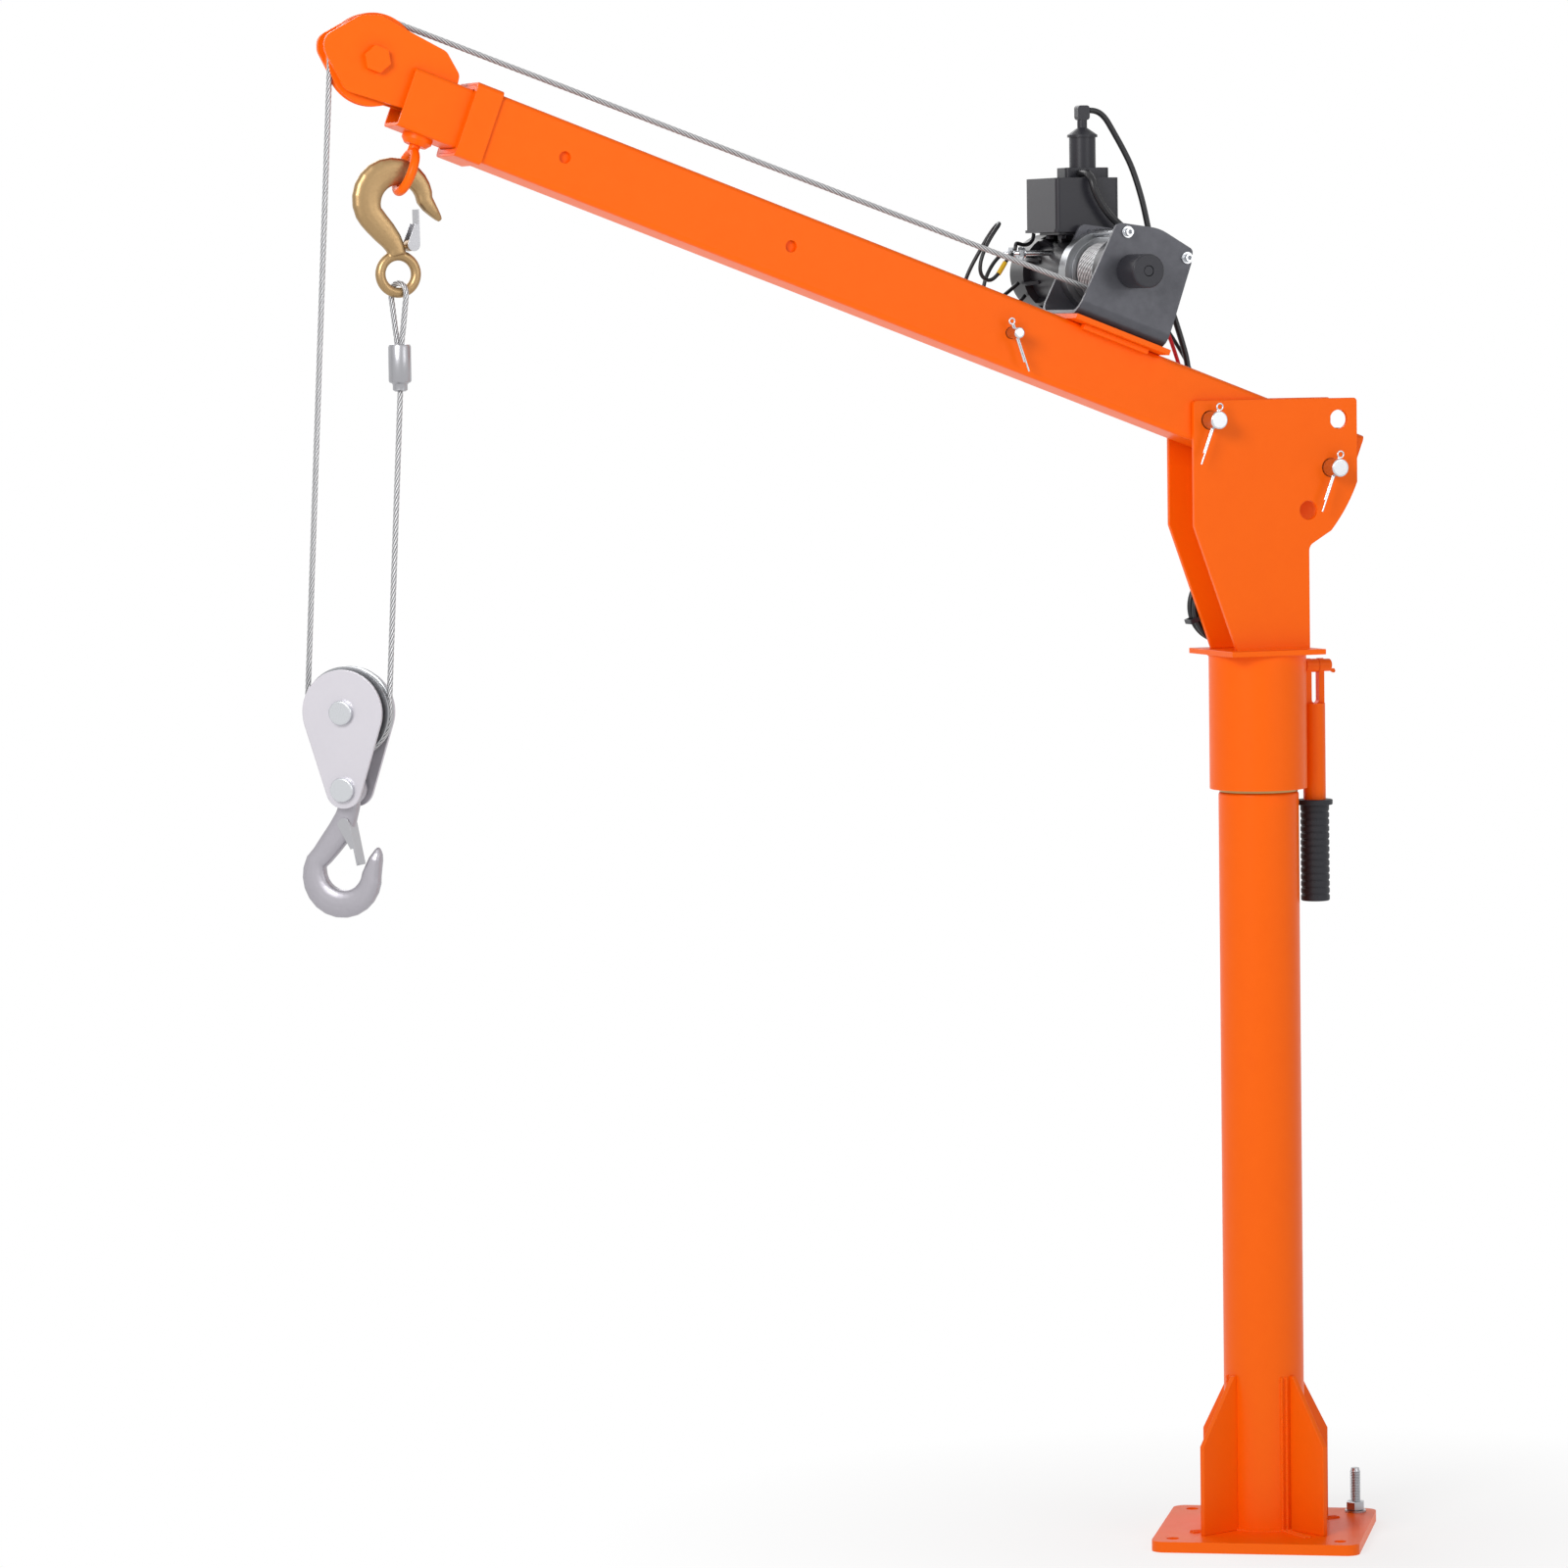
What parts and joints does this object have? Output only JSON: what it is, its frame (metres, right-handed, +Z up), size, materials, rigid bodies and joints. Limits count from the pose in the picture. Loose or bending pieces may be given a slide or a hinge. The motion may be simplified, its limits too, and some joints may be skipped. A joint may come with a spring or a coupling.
{
  "type": "pickup truck crane",
  "caption": "Column-mounted swivel crane with a tilting telescopic boom, an electric rope winch, a hook block on two falls and a folding turning handle.",
  "frame": {"origin": "centre of the base plate's bolt circle, on the plate's underside", "axes": "+Z up along the column's axis; the boom reaches out along -X at rest, and -Y is the near side, where the winch's clutch knob is"},
  "size_m": [1.2503, 0.3442, 1.6888],
  "materials": {
    "orange_paint": "semi-gloss powder coat over welded steel, slightly softened edges",
    "winch_black": "satin black paint on folded steel",
    "motor_black": "satin black paint on cast and drawn metal",
    "bright_zinc": "bright zinc plate on turned steel",
    "yellow_zinc": "gold coloured zinc on a forging",
    "forged_grey": "silver grey paint on a forging",
    "cheek_silver": "fine silver paint on pressed plate",
    "wire_rope": "galvanised strands laid in a rope",
    "machined_steel": "turned steel with a film of grease",
    "bearing_bronze": "bored bronze",
    "grip_rubber": "moulded ribbed rubber",
    "box_plastic": "fine textured moulded plastic",
    "cable_black": "smooth cable sheath"
  },
  "bodies": {
    "base": {"base_plate": "orange_paint", "column_tube": "orange_paint", "column_gussets": "orange_paint", "swivel_spigot": "machined_steel", "thrust_washer": "bearing_bronze"},
    "swivel_head": {"swivel_sleeve": "orange_paint", "swivel_bushes": "bearing_bronze", "flange_plate": "orange_paint", "side_plate_near": "orange_paint", "side_plate_far": "orange_paint", "pivot_pin": "bright_zinc", "lock_pin": "bright_zinc", "head_cotters": "bright_zinc", "handle_pivot_bolt": "orange_paint", "supply_lead_lower": "cable_black", "supply_coil": "cable_black", "coil_tie": "box_plastic", "lead_connector": "box_plastic"},
    "handle": {"handle_lever": "orange_paint", "handle_grip": "grip_rubber"},
    "outer_boom": {"outer_boom_tube": "orange_paint", "boom_collar": "orange_paint", "stop_pin": "bright_zinc", "stop_pin_cotter": "bright_zinc", "winch_plate": "orange_paint", "winch_plate_ribs": "orange_paint", "winch_frame": "winch_black", "winch_fasteners": "bright_zinc", "drum_ring": "bright_zinc", "gearbox_housing": "winch_black", "motor_can": "motor_black", "motor_end_bell": "motor_black", "relay_box": "box_plastic", "relay_bracket": "winch_black", "lead_socket": "box_plastic", "lead_plug": "box_plastic", "winch_wiring": "cable_black", "supply_lead": "cable_black", "lead_joint": "cable_black", "rope_top_run": "wire_rope"},
    "drum": {"winch_drum": "bright_zinc", "rope_winding": "wire_rope"},
    "clutch": {"clutch_knob": "box_plastic"},
    "inner_boom": {"inner_boom_tube": "orange_paint", "tip_cheeks": "orange_paint", "tip_bolt": "orange_paint", "eye_bolt": "orange_paint", "rope_over_tip": "wire_rope"},
    "tip_wheel": {"tip_sheave": "orange_paint"},
    "hook_line": {"line_hook": "yellow_zinc", "rope_eye": "wire_rope", "hoist_fall": "wire_rope", "return_fall": "wire_rope"},
    "line_latch": {"line_hook_latch": "bright_zinc"},
    "block": {"block_cheeks": "cheek_silver", "block_pins": "bright_zinc", "rope_round_block": "wire_rope"},
    "block_wheel": {"block_sheave": "bright_zinc"},
    "swing_hook": {"load_hook": "forged_grey"},
    "load_latch": {"load_hook_latch": "bright_zinc"}
  },
  "joints": [
    {"name": "swivel", "type": "hinge", "parent": "base", "child": "swivel_head", "pos_m": [0, 0, 0.834], "axis": [0, 0, 1], "continuous": true},
    {"name": "handle_fold", "type": "hinge", "parent": "swivel_head", "child": "handle", "pos_m": [0.0685, 0, 0.971], "axis": [1, 0, 0], "range_deg": [-90, 90]},
    {"name": "boom_lift", "type": "hinge", "parent": "swivel_head", "child": "outer_boom", "pos_m": [-0.071, 0, 1.246], "axis": [0, 1, 0], "range_deg": [0, 20], "deforming": ["supply_lead_lower"]},
    {"name": "boom_extend", "type": "slide", "parent": "outer_boom", "child": "inner_boom", "axis": [-0.9354, 0, 0.3535], "range_m": [0, 0.542], "deforming": ["rope_top_run"]},
    {"name": "clutch_slide", "type": "slide", "parent": "outer_boom", "child": "clutch", "axis": [0, -1, 0], "range_m": [0, 0.006]},
    {"name": "hook_plumb", "type": "hinge", "parent": "inner_boom", "child": "hook_line", "pos_m": [-0.98536, 0, 1.50251], "axis": [0, 1, 0], "range_deg": [-20, 0], "deforming": ["rope_over_tip"]},
    {"name": "line_latch_swing", "type": "hinge", "parent": "hook_line", "child": "line_latch", "pos_m": [-0.974, 0, 1.44601], "axis": [0, -1, 0], "range_deg": [0, 22], "stiffness_Nm_per_rad": 0.02, "springref_deg": -28.65},
    {"name": "block_hoist", "type": "slide", "parent": "hook_line", "child": "block", "axis": [0, 0, 1], "range_m": [-0.45, 0.2], "deforming": ["hoist_fall", "return_fall", "rope_top_run"]},
    {"name": "drum_spin", "type": "hinge", "parent": "outer_boom", "child": "drum", "pos_m": [-0.16961, 0, 1.4094], "axis": [0, 1, 0], "continuous": true},
    {"name": "tip_wheel_spin", "type": "hinge", "parent": "inner_boom", "child": "tip_wheel", "pos_m": [-1.01307, 0, 1.63993], "axis": [0, 1, 0], "continuous": true},
    {"name": "block_wheel_spin", "type": "hinge", "parent": "block", "child": "block_wheel", "pos_m": [-1.051, 0, 0.958], "axis": [0.6414, 0.7672, 0], "continuous": true},
    {"name": "hook_swing", "type": "hinge", "parent": "block", "child": "swing_hook", "pos_m": [-1.051, 0, 0.877], "axis": [0.6414, 0.7672, 0], "range_deg": [-35, 35]},
    {"name": "load_latch_swing", "type": "hinge", "parent": "swing_hook", "child": "load_latch", "pos_m": [-1.05484, 0.00321, 0.84], "axis": [0.6414, 0.7672, 0], "range_deg": [0, 30], "stiffness_Nm_per_rad": 0.02, "springref_deg": -28.65}
  ],
  "couplings": [
    {"joint": "hook_plumb", "follows": "boom_lift", "ratio": -1},
    {"joint": "drum_spin", "follows": "block_hoist", "rad_per_m": -66.116},
    {"joint": "tip_wheel_spin", "follows": "block_hoist", "rad_per_m": 43.956},
    {"joint": "block_wheel_spin", "follows": "block_hoist", "rad_per_m": 21.505}
  ]
}
